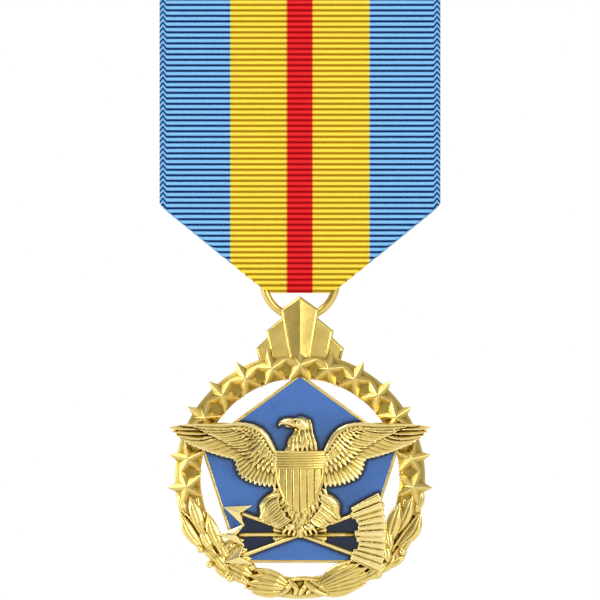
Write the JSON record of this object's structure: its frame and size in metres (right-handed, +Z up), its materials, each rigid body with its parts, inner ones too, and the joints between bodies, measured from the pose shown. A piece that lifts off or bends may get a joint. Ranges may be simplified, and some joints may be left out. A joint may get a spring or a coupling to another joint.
{
  "type": "military service medal",
  "caption": "Gilt pendant with an eagle over an enamelled pentagon in a ring of stars and leaves, hung by a ring from a folded striped ribbon with a pin brooch.",
  "frame": {"origin": "middle of the back face of the brooch plate's lower rail", "axes": "+Z up along the hanging ribbon, -Y out of the front of the medal, +X to the right seen from the front"},
  "size_m": [0.035, 0.0077, 0.0827],
  "materials": {
    "ribbon_cloth": "ribbed woven ribbon in blue, yellow and red stripes",
    "gilt": "struck and gilt",
    "pin_metal": "plated pin fittings",
    "blue_enamel": "opaque vitreous enamel"
  },
  "bodies": {
    "brooch_and_ribbon": {"ribbon": "ribbon_cloth", "brooch_plate": "pin_metal", "hinge_bracket": "pin_metal", "hinge_rivet": "pin_metal", "catch_housing": "pin_metal"},
    "pin": {"pin_stem": "pin_metal"},
    "roller": {"catch_roller": "pin_metal"},
    "ring": {"suspension_ring": "gilt"},
    "pendant": {"suspension_eye": "gilt", "ray_suspender": "gilt", "star_wreath_frame": "gilt", "pentagon_plate": "gilt", "enamel_field": "blue_enamel", "eagle": "gilt", "body_rivet_left": "gilt", "body_rivet_right": "gilt", "wing_rivet_left": "gilt", "wing_rivet_right": "gilt"}
  },
  "joints": [
    {"name": "ring_turn", "type": "hinge", "parent": "brooch_and_ribbon", "child": "ring", "pos_m": [0, -0.00075, -0.03705], "axis": [0, 1, 0], "range_deg": [-25, 25]},
    {"name": "pendant_swing", "type": "hinge", "parent": "ring", "child": "pendant", "pos_m": [0, -0.00075, -0.04155], "axis": [1, 0, 0], "range_deg": [-5, 70]},
    {"name": "pin_swing", "type": "hinge", "parent": "brooch_and_ribbon", "child": "pin", "pos_m": [0.01436, 0.0021, 0], "axis": [0, 0, -1], "range_deg": [0, 75]},
    {"name": "catch_turn", "type": "hinge", "parent": "brooch_and_ribbon", "child": "roller", "pos_m": [-0.01346, 0.0021, 0], "axis": [1, 0, 0], "range_deg": [0, 110]}
  ]
}
